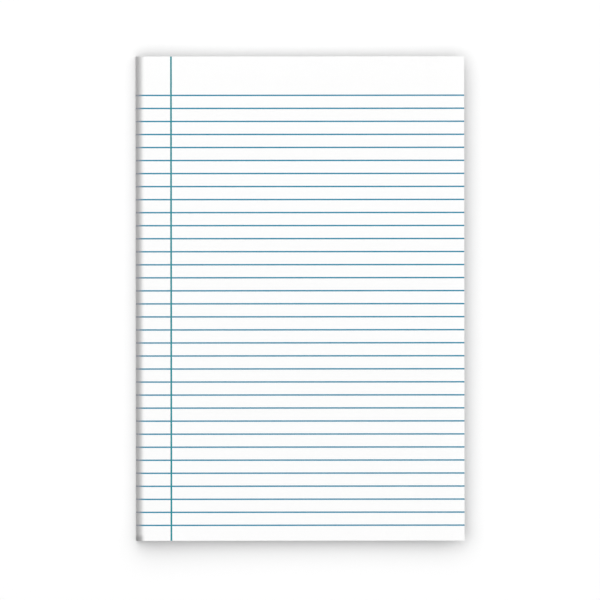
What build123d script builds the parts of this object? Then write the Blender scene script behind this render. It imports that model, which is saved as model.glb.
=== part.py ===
from build123d import *
import math
import os

# A double sheet of ruled writing paper. One sheet is folded once down its left side and
# lies closed on a table, its upper leaf sprung some millimetres off the lower one.
#
# Millimetres, +Z up out of the page. The fold is on the left, at -X, and the head of the
# page is at +Y. The origin is on the table, under the middle of the sheet.

# The sheet as it lies, folded once into two leaves
leaf_width = 210.3
sheet_height = 310.0
paper_thickness = 0.10

# The fold, measured on the sheet's outer face: a tight nose on the table, a steep flank, a
# slow swell that leans in until it slopes at swell_angle, and a round shoulder that brings
# the upper leaf level
nose_radius = 0.85
flank_angle = 73.5
flank_length = 5.1
swell_radius = 9.8
swell_angle = 51.0
shoulder_radius = 3.5

# The upper leaf sags away from the shoulder and lifts again towards its fore edge. Its bow
# is so slight that it is made of this many flat panels, which the thin ink can lie on
leaf_fall_angle = 2.0
leaf_rise_angle = 1.4
leaf_panels = 8

# The print on the front page: feint rules across, from the fold to the fore edge, and a
# margin rule from head to foot, this far in from the fold
rule_pitch = 8.34
rule_width = 0.95
head_margin = 24.9
foot_margin = 9.5
margin_rule_width = 1.12
margin_rule_inset = 22.65
ink_thickness = 0.02

# Places that follow from the sizes above
fold_x = -leaf_width / 2
fore_edge_x = leaf_width / 2
margin_rule_x = fold_x + margin_rule_inset
first_rule_y = sheet_height / 2 - head_margin
rule_count = 1 + int((sheet_height - head_margin - foot_margin) / rule_pitch)


def bow_radius():
    """The radius of the upper leaf's bow that ends it over the lower leaf's fore edge."""
    slope = math.radians(flank_angle)
    swell_slope = math.radians(swell_angle)
    fall = math.radians(leaf_fall_angle)
    rise = math.radians(leaf_rise_angle)
    fold_reach = nose_radius * (1 - math.sin(slope))
    fold_reach += flank_length * math.cos(slope)
    fold_reach += swell_radius * (math.sin(slope) - math.sin(swell_slope))
    fold_reach += shoulder_radius * (math.sin(swell_slope) + math.sin(fall))
    return (leaf_width - fold_reach) / (math.sin(fall) + math.sin(rise))


def front_line(depth):
    """The section line of the front page, at this depth under its face, with X across and
    Z up. It runs from the fold's outermost point over the shoulder to the fore edge."""
    nose_top = JernArc((fold_x + depth, nose_radius), (0, 1), nose_radius - depth, flank_angle - 90)
    flank = PolarLine(nose_top @ 1, flank_length, direction=nose_top % 1)
    swell = JernArc(flank @ 1, flank % 1, swell_radius - depth, swell_angle - flank_angle)
    shoulder_turn = -swell_angle - leaf_fall_angle
    shoulder = JernArc(swell @ 1, swell % 1, shoulder_radius - depth, shoulder_turn)
    bow_turn = leaf_fall_angle + leaf_rise_angle
    bow = JernArc(shoulder @ 1, shoulder % 1, bow_radius() + depth, bow_turn)
    upper_leaf = Polyline([bow @ (joint / leaf_panels) for joint in range(leaf_panels + 1)])
    return [nose_top, flank, swell, shoulder, upper_leaf]


def sheet_line(depth):
    """The section line of the whole sheet, at this depth under its outer face. It runs from
    the lower leaf's fore edge round the fold to the upper leaf's."""
    lower_leaf = Line((fore_edge_x, depth), (fold_x + nose_radius, depth))
    nose_underside = JernArc(lower_leaf @ 1, lower_leaf % 1, nose_radius - depth, -90)
    return [lower_leaf, nose_underside] + front_line(depth)


def layer(line, outer_depth, inner_depth):
    """The face between a section line's course at one depth and at another."""
    outer = line(outer_depth)
    inner = line(inner_depth)
    first_edge = Line(outer[0] @ 0, inner[0] @ 0)
    last_edge = Line(outer[-1] @ 1, inner[-1] @ 1)
    return make_face(Curve() + outer + inner + [first_edge, last_edge])


def strip(section, width, y):
    """A section carried along Y for this width, with its middle at y."""
    return extrude(Plane.XZ.offset(-y) * section, amount=width / 2, both=True)


def folded_sheet():
    """The paper itself."""
    return strip(layer(sheet_line, 0, paper_thickness), sheet_height, 0)


def margin_rule(ink):
    """The ink of the margin rule, which is what an upright slab takes out of the ink."""
    slab = Box(margin_rule_width, sheet_height, sheet_height)
    return strip(ink, sheet_height, 0) & Pos(X=margin_rule_x) * slab


def feint_rules(ink, margin):
    """The ink of every feint rule, which stops each side of the margin rule."""
    rules = []
    for number in range(rule_count):
        rule = strip(ink, rule_width, first_rule_y - number * rule_pitch)
        rules += (rule - margin).solids()
    return Compound(children=rules)


ink_layer = layer(front_line, -ink_thickness, 0)
margin = margin_rule(ink_layer)

nodes = {
    "folded_sheet": folded_sheet(),
    "feint_rules": feint_rules(ink_layer, margin),
    "margin_rule": margin,
}

os.makedirs("parts", exist_ok=True)
for name, shape in nodes.items():
    export_step(shape, f"parts/{name}.step")
    print(name, len(shape.solids()), "solids", round(shape.volume, 2), "mm3")
print("rules", rule_count, "bow radius", round(bow_radius(), 1))
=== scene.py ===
import bpy
import math
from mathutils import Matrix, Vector


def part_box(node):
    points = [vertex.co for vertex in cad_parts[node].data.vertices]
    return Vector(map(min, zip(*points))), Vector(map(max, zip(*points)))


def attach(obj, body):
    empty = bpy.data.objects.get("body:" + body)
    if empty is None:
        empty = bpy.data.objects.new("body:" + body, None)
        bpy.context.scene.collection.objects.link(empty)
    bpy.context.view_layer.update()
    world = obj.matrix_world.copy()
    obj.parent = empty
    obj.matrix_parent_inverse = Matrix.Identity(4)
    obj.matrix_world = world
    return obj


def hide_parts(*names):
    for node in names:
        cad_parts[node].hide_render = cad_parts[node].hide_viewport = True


# A double sheet of ruled writing paper, folded once down its left side, seen from above.
# Everything is in metres. The flat pieces are drawn as they lie on the open sheet, and one
# node tree repeats them down the page and folds them round the sheet's section.

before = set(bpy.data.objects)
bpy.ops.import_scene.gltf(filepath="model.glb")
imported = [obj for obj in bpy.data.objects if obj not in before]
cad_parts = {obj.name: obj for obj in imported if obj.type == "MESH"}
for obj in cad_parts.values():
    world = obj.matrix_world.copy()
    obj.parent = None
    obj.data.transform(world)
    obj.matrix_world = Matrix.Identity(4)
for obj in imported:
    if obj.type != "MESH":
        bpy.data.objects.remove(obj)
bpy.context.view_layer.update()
scene = bpy.context.scene
scene.view_settings.view_transform = "Standard"
millimetre = 0.001

# Camera: straight above the table, with the head of the page at the top of the picture
picture = {
    "side": 600,               # pixels
    "sheetMiddle": (300.06, 298.55),  # where the middle of the sheet shows, in pixels
    "tableWidth": 0.38439,     # how much of the table the picture takes in
    "height": 12.0,            # of the camera above the table
    "clipTimes": 100,          # how many times nearer or farther than the table still shows
    "sensor": 36,              # millimetres
    "turn": -0.055,            # degrees
}


def makeCamera():
    data = bpy.data.cameras.new("camera")
    data.sensor_width = picture["sensor"]
    data.lens = picture["sensor"] * picture["height"] / picture["tableWidth"]
    data.clip_start = picture["height"] / picture["clipTimes"]
    data.clip_end = picture["height"] * picture["clipTimes"]
    camera = bpy.data.objects.new("camera", data)
    scene.collection.objects.link(camera)
    pixel = picture["tableWidth"] / picture["side"]
    offsetX = picture["side"] / 2 - picture["sheetMiddle"][0]
    offsetY = picture["sheetMiddle"][1] - picture["side"] / 2
    camera.location = (offsetX * pixel, offsetY * pixel, picture["height"])
    camera.rotation_euler = (0, 0, math.radians(picture["turn"]))
    scene.camera = camera


makeCamera()
print("camera made")


class NodeKit:
    # Short ways to add nodes to one tree and join them. An input is named or counted from 0
    def __init__(self, tree):
        self.tree = tree

    def add(self, kind, values=None, **settings):
        node = self.tree.nodes.new(kind)
        for name, value in settings.items():
            setattr(node, name, value)
        for name, value in (values or {}).items():
            self.feed(node.inputs[name], value)
        return node

    def feed(self, socket, value):
        if isinstance(value, bpy.types.NodeSocket):
            self.tree.links.new(value, socket)
        else:
            socket.default_value = value

    def maths(self, operation, *values):
        numbered = dict(enumerate(values))
        return self.add("ShaderNodeMath", numbered, operation=operation).outputs[0]

    def vectors(self, operation, *values):
        numbered = dict(enumerate(values))
        return self.add("ShaderNodeVectorMath", numbered, operation=operation).outputs[0]

    def scaled(self, vector, factor):
        values = {0: vector, "Scale": factor}
        return self.add("ShaderNodeVectorMath", values, operation="SCALE").outputs[0]

    def per(self, size):
        # How many of this size go into one metre, which is a noise's scale
        return self.maths("DIVIDE", 1, size)

    def swing(self, noise):
        # How far a noise is above or below its middle
        return self.maths("SUBTRACT", noise, 0.5)

    def ramp(self, value, low, high, toLow=0.0, toHigh=1.0):
        # A smooth step from toLow at low to toHigh at high
        values = {
            "Value": value,
            "From Min": low,
            "From Max": high,
            "To Min": toLow,
            "To Max": toHigh,
        }
        return self.add("ShaderNodeMapRange", values, interpolation_type="SMOOTHSTEP").outputs[0]

    def noise(self, vector, scale, detail=2.0, roughness=0.5):
        values = {"Vector": vector, "Scale": scale, "Detail": detail, "Roughness": roughness}
        return self.add("ShaderNodeTexNoise", values).outputs["Fac"]

    def stretched(self, vector, x, y, shift):
        values = {"Vector": vector, "Location": (shift, shift, 0), "Scale": (x, y, 1)}
        return self.add("ShaderNodeMapping", values).outputs[0]

    def mixedColours(self, share, first, second):
        # A Mix node keeps its colours in sockets that only their identifiers tell apart
        node = self.add("ShaderNodeMix", {"Factor": share}, data_type="RGBA")
        sockets = {socket.identifier: socket for socket in node.inputs[:] + node.outputs[:]}
        self.feed(sockets["A_Color"], first)
        self.feed(sockets["B_Color"], second)
        return sockets["Result_Color"]


# The section of the sheet, on its outer face. It starts at the lower leaf's fore edge, runs
# round the fold and ends at the upper leaf's fore edge
sheetLow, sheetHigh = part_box("folded_sheet")
leafWidth = sheetHigh.x - sheetLow.x
fold = {
    "thickness": 0.10 * millimetre,
    "noseRadius": 0.85 * millimetre,
    "flankAngle": 73.5,        # degrees
    "flankLength": 5.1 * millimetre,
    "swellRadius": 9.8 * millimetre,
    "swellAngle": 51.0,        # how steep the swell still is where the shoulder takes over
    "shoulderRadius": 3.5 * millimetre,
    "fallAngle": 2.0,          # how steeply the upper leaf falls away from the shoulder
    "riseAngle": 1.4,          # and how steeply it rises at its fore edge
    "bendStep": 3.0,           # degrees between two points of a tight bend
    "flankSteps": 4,
    "leafStep": 5.0 * millimetre,
}
printing = {"inkThickness": 0.010 * millimetre}


def sectionRuns():
    # Each run of the section: how long it is, how many degrees it turns, its number of steps
    slope, swellSlope, fall, rise = (
        math.radians(fold[name]) for name in ("flankAngle", "swellAngle", "fallAngle", "riseAngle"))
    foldReach = fold["noseRadius"] * (1 - math.sin(slope))
    foldReach += fold["flankLength"] * math.cos(slope)
    foldReach += fold["swellRadius"] * (math.sin(slope) - math.sin(swellSlope))
    foldReach += fold["shoulderRadius"] * (math.sin(swellSlope) + math.sin(fall))
    bowRadius = (leafWidth - foldReach) / (math.sin(fall) + math.sin(rise))
    bowTurn = fold["fallAngle"] + fold["riseAngle"]

    def arc(radius, turn, steps):
        return (radius * math.radians(abs(turn)), turn, steps)

    def bend(radius, turn):
        return arc(radius, turn, round(abs(turn) / fold["bendStep"]))

    lowerLeaf = leafWidth - fold["noseRadius"]
    leafSteps = round(leafWidth / fold["leafStep"])
    return [
        (lowerLeaf, 0, leafSteps),
        bend(fold["noseRadius"], fold["flankAngle"] - 180),
        (fold["flankLength"], 0, fold["flankSteps"]),
        bend(fold["swellRadius"], fold["swellAngle"] - fold["flankAngle"]),
        bend(fold["shoulderRadius"], -fold["swellAngle"] - fold["fallAngle"]),
        arc(bowRadius, bowTurn, leafSteps),
    ]


def walkSection():
    # Points of the section as (distance along it, x, z). The feint rules under the sheet
    # come down to z = 0
    along, x, z, heading = 0.0, sheetHigh.x, printing["inkThickness"], 180.0
    points = [(along, x, z)]
    for length, turn, steps in sectionRuns():
        for _ in range(steps):
            heading += turn / steps / 2
            along += length / steps
            x += math.cos(math.radians(heading)) * length / steps
            z += math.sin(math.radians(heading)) * length / steps
            heading += turn / steps / 2
            points.append((along, x, z))
    return points


sectionPoints = walkSection()
sheetLength = sectionPoints[-1][0]
foldedLength = sum(run[0] for run in sectionRuns()[:-1])   # up to the start of the upper leaf
lowerLength, noseLength = (run[0] for run in sectionRuns()[:2])
creaseAlong = lowerLength + noseLength / 2                 # up to the middle of the nose


def makeSectionCurve():
    data = bpy.data.curves.new("section", "CURVE")
    data.dimensions = "3D"
    spline = data.splines.new("POLY")
    spline.points.add(len(sectionPoints) - 1)
    for point, (_, x, z) in zip(spline.points, sectionPoints):
        point.co = (x, 0, z, 1)
    curve = bpy.data.objects.new("section", data)
    scene.collection.objects.link(curve)
    return curve


section = makeSectionCurve()


def placeOnUpperLeaf(x):
    # How far along the section the upper leaf passes over x
    rounding = 1e-9
    leaf = [point for point in sectionPoints if point[0] >= foldedLength - rounding]
    for (alongA, xA, _), (alongB, xB, _) in zip(leaf, leaf[1:]):
        if xA <= x <= xB:
            return alongA + (x - xA) / (xB - xA) * (alongB - alongA)
    return sheetLength


print("section walked:", round(sheetLength / millimetre, 1), "mm along")

# The print, alike on all four pages
sheetHeight = sheetHigh.y - sheetLow.y
feint = {
    "pitch": 8.34 * millimetre,
    "width": 0.95 * millimetre,
    "head": 24.9 * millimetre,    # from the head of the page to the first rule
    "foot": 9.5 * millimetre,     # the least from the last rule to the foot of the page
}
margin = {
    "width": 1.12 * millimetre,
    "inset": 22.65 * millimetre,  # from the left of the page
    "lift": 0.008 * millimetre,   # how much its ink stands over the feint rules
}
firstRuleY = sheetHigh.y - feint["head"]
ruleCount = 1 + int((sheetHeight - feint["head"] - feint["foot"]) / feint["pitch"])
ruleYs = [firstRuleY - number * feint["pitch"] for number in range(ruleCount)]
leftOfPage = sheetLow.x + margin["inset"]        # beside the fold
leftOfBackPage = sheetHigh.x - margin["inset"]   # beside the fore edge
marginPlaces = {
    "front": placeOnUpperLeaf(leftOfPage),
    "innerLeft": placeOnUpperLeaf(leftOfBackPage),
    "innerRight": sheetHigh.x - leftOfPage,
    "back": sheetHigh.x - leftOfBackPage,
}

# The net of points that the flat pieces are drawn on
net = {
    "rowStep": 4 * millimetre,    # between two rows where nothing is printed
    "closest": 0.2 * millimetre,  # a row or column this close to a rule's edge is left out
    "sharpAngle": 35,             # degrees. An edge sharper than this isn't shaded round
}


def joined(values, extra):
    # Values in order, without those that an extra one comes close to
    kept = [v for v in values if all(abs(v - other) > net["closest"] for other in extra)]
    return sorted(kept + list(extra))


def columns():
    # Every distance along the section that has a column of points
    edges = []
    for place in marginPlaces.values():
        edges += [place - margin["width"] / 2, place + margin["width"] / 2]
    return joined([point[0] for point in sectionPoints], edges)


def rows():
    # Every height on the page that has a row of points
    edges = []
    for y in ruleYs:
        edges += [y - feint["width"] / 2, y + feint["width"] / 2]
    count = round(sheetHeight / net["rowStep"])
    even = [sheetLow.y + sheetHeight * number / count for number in range(count + 1)]
    return joined(even, edges)


def flatSlab(name, xs, ys, low, high):
    # A closed thin slab on the open sheet, with x along the section and z out of the paper.
    # Its points carry how far they are across its narrow side, from -1 to 1
    vertices = [(x, y, z) for z in (low, high) for x in xs for y in ys]
    column, plane = len(ys), len(xs) * len(ys)
    faces = []
    for i in range(len(xs) - 1):
        for j in range(len(ys) - 1):
            a, b = i * column + j, (i + 1) * column + j
            faces.append((a, a + 1, b + 1, b))
            faces.append((a + plane, b + plane, b + 1 + plane, a + 1 + plane))
    for i in range(len(xs) - 1):
        a, b = i * column, (i + 1) * column
        faces.append((a, b, b + plane, a + plane))
        a, b = a + column - 1, b + column - 1
        faces.append((b, a, a + plane, b + plane))
    for j in range(len(ys) - 1):
        a = j
        faces.append((a + 1, a, a + plane, a + 1 + plane))
        a = (len(xs) - 1) * column + j
        faces.append((a, a + 1, a + 1 + plane, a + plane))
    mesh = bpy.data.meshes.new(name)
    mesh.from_pydata(vertices, [], faces)
    narrow = 0 if xs[-1] - xs[0] < ys[-1] - ys[0] else 1
    first, last = (xs, ys)[narrow][0], (xs, ys)[narrow][-1]
    across = mesh.attributes.new("across", "FLOAT", "POINT")
    distances = [2 * (vertex[narrow] - first) / (last - first) - 1 for vertex in vertices]
    across.data.foreach_set("value", distances)
    slab = bpy.data.objects.new(name, mesh)
    scene.collection.objects.link(slab)
    return slab


# The node tree that lays a flat piece on the folded sheet
cockle = {
    "height": 0.12 * millimetre,  # how far the upper leaf rises and dips
    "size": 70 * millimetre,
    "seed": 4.0,
    "reach": 40 * millimetre,     # how far past the fold it takes to grow
    "detail": 1,
    "spread": 4,                  # brings the noise, which keeps near its middle, to -1 to 1
}


def makeFoldTree():
    tree = bpy.data.node_groups.new("layOnSheet", "GeometryNodeTree")
    for name, kind in (
        ("Geometry", "NodeSocketGeometry"),
        ("Section", "NodeSocketObject"),
        ("Count", "NodeSocketInt"),
        ("Pitch", "NodeSocketFloat"),
        ("Leaf Start", "NodeSocketFloat"),
        ("Cockle Height", "NodeSocketFloat"),
        ("Cockle Size", "NodeSocketFloat"),
        ("Cockle Reach", "NodeSocketFloat"),
        ("Seed", "NodeSocketFloat"),
        ("Material", "NodeSocketMaterial"),
    ):
        tree.interface.new_socket(name, in_out="INPUT", socket_type=kind)
    tree.interface.new_socket("Geometry", in_out="OUTPUT", socket_type="NodeSocketGeometry")
    kit = NodeKit(tree)
    given = kit.add("NodeGroupInput").outputs

    # Repeats the piece down the page
    downward = kit.maths("MULTIPLY", given["Pitch"], -1)
    offset = kit.add("ShaderNodeCombineXYZ", {"Y": downward}).outputs[0]
    spacing = {"Count": given["Count"], "Offset": offset}
    places = kit.add("GeometryNodeMeshLine", spacing, mode="OFFSET").outputs["Mesh"]
    placing = {"Points": places, "Instance": given["Geometry"]}
    copies = kit.add("GeometryNodeInstanceOnPoints", placing).outputs[0]
    real = kit.add("GeometryNodeRealizeInstances", {0: copies}).outputs[0]

    # Keeps the flat place as the UV map, for the paper's grain
    position = kit.add("GeometryNodeInputPosition").outputs[0]
    flat = kit.add("ShaderNodeSeparateXYZ", {0: position}).outputs
    flatPair = kit.add("ShaderNodeCombineXYZ", {"X": flat["X"], "Y": flat["Y"]}).outputs[0]
    mapped = kit.add("GeometryNodeStoreNamedAttribute", data_type="FLOAT2", domain="CORNER")
    kit.feed(mapped.inputs["Geometry"], real)
    kit.feed(mapped.inputs["Name"], "UVMap")
    kit.feed(mapped.inputs["Value"], flatPair)

    # Folds it round the section
    course = kit.add("GeometryNodeObjectInfo", {"Object": given["Section"]}).outputs["Geometry"]
    followed = {"Curves": course, "Length": flat["X"]}
    sample = kit.add("GeometryNodeSampleCurve", followed, mode="LENGTH").outputs
    outward = kit.vectors("NORMALIZE", kit.vectors("CROSS_PRODUCT", sample["Tangent"], (0, 1, 0)))

    # Lets the upper leaf rise and dip a little, more with distance from the fold
    rippling = {
        "Vector": flatPair,
        "W": given["Seed"],
        "Scale": kit.per(given["Cockle Size"]),
        "Detail": cockle["detail"],
    }
    ripple = kit.add("ShaderNodeTexNoise", rippling, noise_dimensions="4D").outputs["Fac"]
    leafStart = given["Leaf Start"]
    grown = kit.ramp(flat["X"], leafStart, kit.maths("ADD", leafStart, given["Cockle Reach"]))
    swing = kit.maths("MULTIPLY", kit.swing(ripple), cockle["spread"])
    rise = kit.maths("MULTIPLY", kit.maths("MULTIPLY", swing, given["Cockle Height"]), grown)
    lift = kit.scaled(outward, kit.maths("ADD", rise, flat["Z"]))

    upThePage = kit.add("ShaderNodeCombineXYZ", {"Y": flat["Y"]}).outputs[0]
    onCourse = kit.vectors("ADD", sample["Position"], upThePage)
    final = {"Geometry": mapped.outputs[0], "Position": kit.vectors("ADD", onCourse, lift)}
    placed = kit.add("GeometryNodeSetPosition", final).outputs[0]
    painting = {"Geometry": placed, "Material": given["Material"]}
    kit.add("NodeGroupOutput", {0: kit.add("GeometryNodeSetMaterial", painting).outputs[0]})
    return tree


foldTree = makeFoldTree()


def layOnSheet(piece, material, count=1, pitch=0.0):
    # Runs the tree on a flat piece and keeps the result as a plain mesh
    values = {
        "Section": section,
        "Count": count,
        "Pitch": pitch,
        "Leaf Start": foldedLength,
        "Cockle Height": cockle["height"],
        "Cockle Size": cockle["size"],
        "Cockle Reach": cockle["reach"],
        "Seed": cockle["seed"],
        "Material": material,
    }
    modifier = piece.modifiers.new("layOnSheet", "NODES")
    modifier.node_group = foldTree
    for item in foldTree.interface.items_tree:
        if item.in_out == "INPUT" and item.name in values:
            modifier[item.identifier] = values[item.name]
    evaluated = piece.evaluated_get(bpy.context.evaluated_depsgraph_get())
    mesh = bpy.data.meshes.new_from_object(evaluated)
    piece.modifiers.remove(modifier)
    piece.data = mesh
    mesh.name = piece.name
    mesh.shade_smooth()
    mesh.set_sharp_from_angle(angle=math.radians(net["sharpAngle"]))
    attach(piece, "root")
    print(piece.name, "laid on the sheet,", len(mesh.polygons), "faces")


def newGroup(name, given, returned):
    # A shader group and its kit, with named value inputs and outputs
    tree = bpy.data.node_groups.new(name, "ShaderNodeTree")
    for label, kind in given.items():
        tree.interface.new_socket(label, in_out="INPUT", socket_type=kind)
    for label in returned:
        tree.interface.new_socket(label, in_out="OUTPUT", socket_type="NodeSocketFloat")
    kit = NodeKit(tree)
    return tree, kit, kit.add("NodeGroupInput").outputs, kit.add("NodeGroupOutput").inputs


# Smooth writing paper: cloudy through the light, a fine grain, and short felted fibres
fibreBed = {
    "detail": 3.0,
    "grainRoughness": 0.6,
    "strandWidth": 0.02,       # how far from a noise's middle a strand reaches
    "strandRelief": 0.4,       # how high a strand stands, beside the grain
    # Each layer of fibres: its stretch in x and in y, and its shift
    "layers": ((1.0, 0.22, 0.13), (0.22, 1.0, 0.57), (0.6, 0.45, 0.91)),
}


def makePaperFibre():
    given = {
        "Place": "NodeSocketVector",
        "Cloud Size": "NodeSocketFloat",
        "Grain Size": "NodeSocketFloat",
        "Fibre Size": "NodeSocketFloat",
        "Cloud Depth": "NodeSocketFloat",
        "Fibre Depth": "NodeSocketFloat",
    }
    tree, kit, sockets, returned = newGroup("paperFibre", given, ("Tone", "Height"))
    place, detail = sockets["Place"], fibreBed["detail"]
    cloud = kit.noise(place, kit.per(sockets["Cloud Size"]), detail)
    grain = kit.noise(place, kit.per(sockets["Grain Size"]), detail, fibreBed["grainRoughness"])
    perFibre = kit.per(sockets["Fibre Size"])
    strands = []
    for x, y, shift in fibreBed["layers"]:
        layer = kit.noise(kit.stretched(place, x, y, shift), perFibre)
        fromMiddle = kit.maths("ABSOLUTE", kit.swing(layer))
        strands.append(kit.ramp(fromMiddle, 0.0, fibreBed["strandWidth"], 1.0, 0.0))
    strand = kit.maths("MAXIMUM", kit.maths("MAXIMUM", strands[0], strands[1]), strands[2])
    clouded = kit.maths("MULTIPLY", kit.swing(cloud), sockets["Cloud Depth"])
    fibred = kit.maths("MULTIPLY", strand, sockets["Fibre Depth"])
    relief = kit.maths("MULTIPLY", strand, fibreBed["strandRelief"])
    kit.feed(returned["Tone"], kit.maths("SUBTRACT", kit.maths("ADD", 1.0, clouded), fibred))
    kit.feed(returned["Height"], kit.maths("ADD", grain, relief))
    return tree


# How thick the ink of a printed rule lies: its edges are a little ragged, the paper's grain
# thins it in specks, and it runs thicker and thinner along the rule
inkBed = {
    "detail": 3.0,
    "roughness": 0.6,
    "speckStart": 0.62,        # where the grain starts to thin the ink, and where it does so most
    "speckFull": 0.8,
}


def makeInkStroke():
    given = {
        "Place": "NodeSocketVector",
        "Across": "NodeSocketFloat",
        "Half Width": "NodeSocketFloat",
        "Edge": "NodeSocketFloat",
        "Grain Size": "NodeSocketFloat",
        "Run Size": "NodeSocketFloat",
        "Speck Depth": "NodeSocketFloat",
        "Run Depth": "NodeSocketFloat",
    }
    tree, kit, sockets, returned = newGroup("inkStroke", given, ("Thickness",))
    place, edge, halfWidth = sockets["Place"], sockets["Edge"], sockets["Half Width"]
    perGrain = kit.per(sockets["Grain Size"])
    fine = kit.noise(place, perGrain, inkBed["detail"], inkBed["roughness"])
    run = kit.noise(place, kit.per(sockets["Run Size"]))
    fromMiddle = kit.maths("MULTIPLY", kit.maths("ABSOLUTE", sockets["Across"]), halfWidth)
    fromEdge = kit.maths("SUBTRACT", halfWidth, fromMiddle)
    wander = kit.maths("MULTIPLY", kit.swing(fine), edge)
    body = kit.ramp(kit.maths("ADD", fromEdge, wander), 0.0, edge)
    speckDepth = sockets["Speck Depth"]
    speck = kit.ramp(fine, inkBed["speckStart"], inkBed["speckFull"], 0.0, speckDepth)
    thick = kit.maths("MULTIPLY", kit.swing(run), sockets["Run Depth"])
    solid = kit.maths("SUBTRACT", kit.maths("ADD", 1.0, thick), speck)
    kit.feed(returned["Thickness"], kit.maths("MULTIPLY", body, solid))
    return tree


def makeCreaseWear():
    # How whole the ink is: 0 beside the crease, where it cracked off, and 1 away from it
    given = {
        "Place": "NodeSocketVector",
        "Crease": "NodeSocketFloat",
        "Worn Reach": "NodeSocketFloat",
        "Whole Reach": "NodeSocketFloat",
    }
    tree, kit, sockets, returned = newGroup("creaseWear", given, ("Whole",))
    along = kit.add("ShaderNodeSeparateXYZ", {0: sockets["Place"]}).outputs["X"]
    away = kit.maths("ABSOLUTE", kit.maths("SUBTRACT", along, sockets["Crease"]))
    kit.feed(returned["Whole"], kit.ramp(away, sockets["Worn Reach"], sockets["Whole Reach"]))
    return tree


# Painted shade on the paper: 1 everywhere but at the foot of the fold, where shade is painted into
# the paper's colour to darken it
paintedFootShadeCore = {
    "reachShare": 0.73,        # up to these shares of its reach and its height, the painted shade is full
    "heightShare": 0.26,
}


def makePaintedFootShade():
    given = {
        "Place": "NodeSocketVector",
        "Crease": "NodeSocketFloat",
        "Foot": "NodeSocketFloat",
        "Reach": "NodeSocketFloat",
        "Height": "NodeSocketFloat",
        "Depth": "NodeSocketFloat",
    }
    tree, kit, sockets, returned = newGroup("footShade", given, ("Tone",))
    reach, height = sockets["Reach"], sockets["Height"]
    place = kit.add("ShaderNodeSeparateXYZ", {0: sockets["Place"]}).outputs
    away = kit.maths("ABSOLUTE", kit.maths("SUBTRACT", place["X"], sockets["Crease"]))
    nearReach = kit.maths("MULTIPLY", reach, paintedFootShadeCore["reachShare"])
    beside = kit.ramp(away, nearReach, reach, 1.0, 0.0)
    raised = kit.maths("SUBTRACT", place["Y"], sockets["Foot"])
    nearHeight = kit.maths("MULTIPLY", height, paintedFootShadeCore["heightShare"])
    below = kit.ramp(raised, nearHeight, height, 1.0, 0.0)
    # How deep the painted shade is, where both steps are full
    paintedShade = kit.maths("MULTIPLY", kit.maths("MULTIPLY", beside, below), sockets["Depth"])
    kit.feed(returned["Tone"], kit.maths("SUBTRACT", 1.0, paintedShade))
    return tree


paperFibre = makePaperFibre()
footShade = makePaintedFootShade()
inkStroke = makeInkStroke()
creaseWear = makeCreaseWear()

paper = {
    "colour": (0.892, 0.892, 0.891, 1),
    "roughness": 0.85,
    "specular": 0.3,
    "cloudSize": 14 * millimetre,
    "grainSize": 0.45 * millimetre,
    "fibreSize": 0.9 * millimetre,
    "cloudDepth": 0.012,
    "fibreDepth": 0.012,
    "bump": 0.012 * millimetre,      # how deep the grain is
    "paintedShadeReach": 13 * millimetre,   # how far from the crease the painted shade at the foot of the fold reaches
    "paintedShadeHeight": 5 * millimetre,   # and how far up
    # how much the painted shade darkens the paper's colour
    "paintedShadeDepth": 0.32,
    "letThrough": 0.10,              # the share of the light that each face passes on
    "makeUp": 1.09,                  # how much lighter each face is than the sheet looks
}
inkStrokes = {
    "edge": 0.05 * millimetre,
    "grainSize": 0.16 * millimetre,
    "runSize": 9 * millimetre,
    "speckDepth": 0.35,
    "runDepth": 0.16,
    "wornReach": 5.8 * millimetre,    # how far from the crease the ink is at its faintest
    "wholeReach": 12.4 * millimetre,  # and how far from it the ink is whole
    "worn": (0.62, 0.655, 0.724, 1),  # the light that passes the ink left there
}
feintInk = {"colour": (0.014, 0.220, 0.345, 1)}
marginInk = {"colour": (0.004, 0.226, 0.265, 1)}


def newMaterial(name, roughness, specular):
    material = bpy.data.materials.new(name)
    material.use_nodes = True
    kit = NodeKit(material.node_tree)
    shader = material.node_tree.nodes["Principled BSDF"]
    shader.inputs["Roughness"].default_value = roughness
    shader.inputs["Specular IOR Level"].default_value = specular
    return material, kit, shader


def paperLook(kit, shader):
    # The bare paper's colour and grain, darkened by painted shade at the foot of the fold, and the
    # place on the open sheet that they follow
    place = kit.add("ShaderNodeUVMap", uv_map="UVMap").outputs[0]
    fibreValues = {
        "Place": place,
        "Cloud Size": paper["cloudSize"],
        "Grain Size": paper["grainSize"],
        "Fibre Size": paper["fibreSize"],
        "Cloud Depth": paper["cloudDepth"],
        "Fibre Depth": paper["fibreDepth"],
    }
    fibre = kit.add("ShaderNodeGroup", fibreValues, node_tree=paperFibre).outputs
    # Painted shade: darkens the paper's colour at the foot of the fold
    paintedShadeValues = {
        "Place": place,
        "Crease": creaseAlong,
        "Foot": sheetLow.y,
        "Reach": paper["paintedShadeReach"],
        "Height": paper["paintedShadeHeight"],
        "Depth": paper["paintedShadeDepth"],
    }
    paintedShade = kit.add("ShaderNodeGroup", paintedShadeValues, node_tree=footShade).outputs
    toneWithPaintedShade = kit.maths("MULTIPLY", fibre["Tone"], paintedShade["Tone"])
    bump = kit.add("ShaderNodeBump", {"Distance": paper["bump"], "Height": fibre["Height"]})
    kit.feed(shader.inputs["Normal"], bump.outputs[0])
    return kit.scaled(paper["colour"][:3], toneWithPaintedShade), place


def whitePaper():
    # The sheet is thin enough to let a little light through, which its faces make up for
    material, kit, shader = newMaterial("whitePaper", paper["roughness"], paper["specular"])
    lit = kit.scaled(paperLook(kit, shader)[0], paper["makeUp"])
    kit.feed(shader.inputs["Base Color"], lit)
    passed = kit.add("ShaderNodeBsdfTranslucent", {"Color": lit}).outputs[0]
    both = {0: paper["letThrough"], 1: shader.outputs[0], 2: passed}
    faces = kit.add("ShaderNodeMixShader", both).outputs[0]
    kit.feed(material.node_tree.nodes["Material Output"].inputs["Surface"], faces)
    return material


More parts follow.
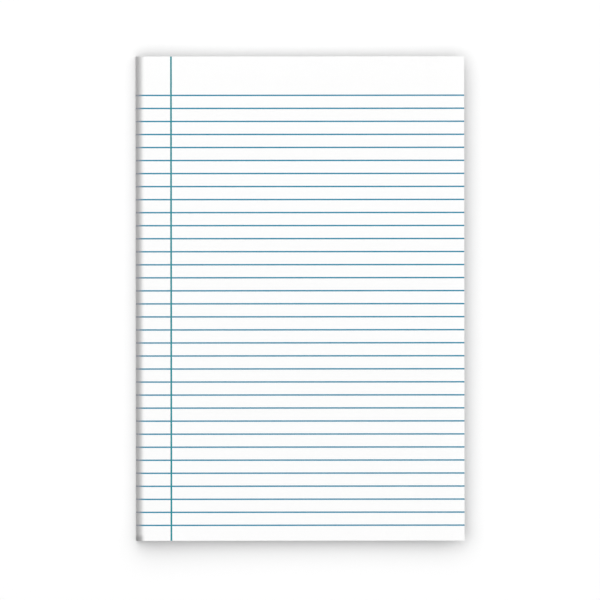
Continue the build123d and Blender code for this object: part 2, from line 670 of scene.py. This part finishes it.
def inkOnPaper(name, ink, width):
    # The paper is seen through the ink, which takes more of its light the thicker it lies
    material, kit, shader = newMaterial(name, paper["roughness"], paper["specular"])
    colour, place = paperLook(kit, shader)
    strokeValues = {
        "Place": place,
        "Across": kit.add("ShaderNodeAttribute", attribute_name="across").outputs["Fac"],
        "Half Width": width / 2,
        "Edge": inkStrokes["edge"],
        "Grain Size": inkStrokes["grainSize"],
        "Run Size": inkStrokes["runSize"],
        "Speck Depth": inkStrokes["speckDepth"],
        "Run Depth": inkStrokes["runDepth"],
    }
    stroke = kit.add("ShaderNodeGroup", strokeValues, node_tree=inkStroke).outputs
    parts = zip(ink["colour"][:3], paper["colour"][:3])
    passed = [inkPart / paperPart for inkPart, paperPart in parts] + [1]
    film = kit.add("ShaderNodeGamma", {"Color": passed, "Gamma": stroke["Thickness"]}).outputs[0]
    wearValues = {
        "Place": place,
        "Crease": creaseAlong,
        "Worn Reach": inkStrokes["wornReach"],
        "Whole Reach": inkStrokes["wholeReach"],
    }
    wear = kit.add("ShaderNodeGroup", wearValues, node_tree=creaseWear).outputs
    left = kit.mixedColours(wear["Whole"], inkStrokes["worn"], film)
    kit.feed(shader.inputs["Base Color"], kit.vectors("MULTIPLY", colour, left))
    return material


paperMaterial = whitePaper()
feintMaterial = inkOnPaper("feintInk", feintInk, feint["width"])
marginMaterial = inkOnPaper("marginInk", marginInk, margin["width"])
print("paper and ink mixed")

# The paper
allColumns = columns()
allRows = rows()
outerFace = 0.0
innerFace = -fold["thickness"]
sheet = flatSlab("paperSheet", allColumns, allRows, innerFace, outerFace)
layOnSheet(sheet, paperMaterial)
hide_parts("folded_sheet")


def feintRules(name, low, high):
    # The first rule of a face, which the tree repeats down the page
    edges = [firstRuleY - feint["width"] / 2, firstRuleY + feint["width"] / 2]
    rules = flatSlab(name, allColumns, edges, low, high)
    layOnSheet(rules, feintMaterial, ruleCount, feint["pitch"])
    return rules


def marginRules(name, pages, low, high):
    # The margin rules of one face of the sheet, drawn apart and joined
    slabs = []
    for page in pages:
        place = marginPlaces[page]
        edges = [place - margin["width"] / 2, place + margin["width"] / 2]
        slabs.append(flatSlab(name, edges, allRows, low, high))
    first = slabs[0]
    with bpy.context.temp_override(active_object=first, selected_editable_objects=slabs):
        bpy.ops.object.join()
    layOnSheet(first, marginMaterial)
    return first


feintInkThickness = printing["inkThickness"]
outerRules = feintRules("outerFeintRules", outerFace, outerFace + feintInkThickness)
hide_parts("feint_rules")
feintRules("innerFeintRules", innerFace - feintInkThickness, innerFace)
marginInkThickness = feintInkThickness + margin["lift"]
outerPages, innerPages = ("front", "back"), ("innerLeft", "innerRight")
outerTop, innerTop = outerFace + marginInkThickness, innerFace - marginInkThickness
outerMargins = marginRules("outerMarginRules", outerPages, outerFace, outerTop)
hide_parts("margin_rule")
marginRules("innerMarginRules", innerPages, innerTop, innerFace)
bpy.data.objects.remove(section)
print("print laid")

# Table and light
studio = {
    "tableSide": 6.0,
    "tableDrop": 0.02 * millimetre,  # keeps the table clear of the ink under the sheet
    "tableColour": 0.915,      # what the camera sees
    "tableBounce": 0.056,      # what the paper sees
    "tableRoughness": 1.0,
    "tableShine": 0.0,
    "worldColour": (1, 1, 1, 1),
    "worldSeen": 1.0,          # what the camera sees, where 1 is white
    "worldBounce": 0.023,      # what the paper sees
    "lampSize": 13.1,
    "lampHeight": 4.0,
    "lampTilt": (3.3, 12.5),   # degrees towards the fore edge and towards the head
    "lampPower": 647.0,
}


def makeTable():
    side, low = studio["tableSide"] / 2, -studio["tableDrop"]
    mesh = bpy.data.meshes.new("table")
    corners = [(-side, -side, low), (side, -side, low), (side, side, low), (-side, side, low)]
    mesh.from_pydata(corners, [], [(0, 1, 2, 3)])
    table = bpy.data.objects.new("table", mesh)
    scene.collection.objects.link(table)
    material, kit, shader = newMaterial("tableTop", studio["tableRoughness"], studio["tableShine"])
    seen = kit.add("ShaderNodeLightPath").outputs
    mirrored = kit.maths("MAXIMUM", seen["Is Glossy Ray"], seen["Is Transmission Ray"])
    direct = kit.maths("MAXIMUM", seen["Is Camera Ray"], mirrored)
    tones = {"Value": direct, "To Min": studio["tableBounce"], "To Max": studio["tableColour"]}
    kit.feed(shader.inputs["Base Color"], kit.add("ShaderNodeMapRange", tones).outputs[0])
    mesh.materials.append(material)


def makeLamp():
    data = bpy.data.lights.new("lamp", "AREA")
    data.shape = "DISK"
    data.size = studio["lampSize"]
    data.energy = studio["lampPower"]
    lamp = bpy.data.objects.new("lamp", data)
    scene.collection.objects.link(lamp)
    right, head = (math.tan(math.radians(angle)) for angle in studio["lampTilt"])
    towards = Vector((right, head, 1)).normalized()
    lamp.location = towards * studio["lampHeight"]
    lamp.rotation_euler = towards.to_track_quat("Z", "Y").to_euler()
    lamp.visible_camera = False


def makeWorld():
    world = bpy.data.worlds.new("world")
    world.use_nodes = True
    scene.world = world
    kit = NodeKit(world.node_tree)
    background = world.node_tree.nodes["Background"]
    background.inputs["Color"].default_value = studio["worldColour"]
    seen = kit.add("ShaderNodeLightPath").outputs["Is Camera Ray"]
    tones = {"Value": seen, "To Min": studio["worldBounce"], "To Max": studio["worldSeen"]}
    kit.feed(background.inputs["Strength"], kit.add("ShaderNodeMapRange", tones).outputs[0])


makeTable()
makeLamp()
makeWorld()
print("table and light set")
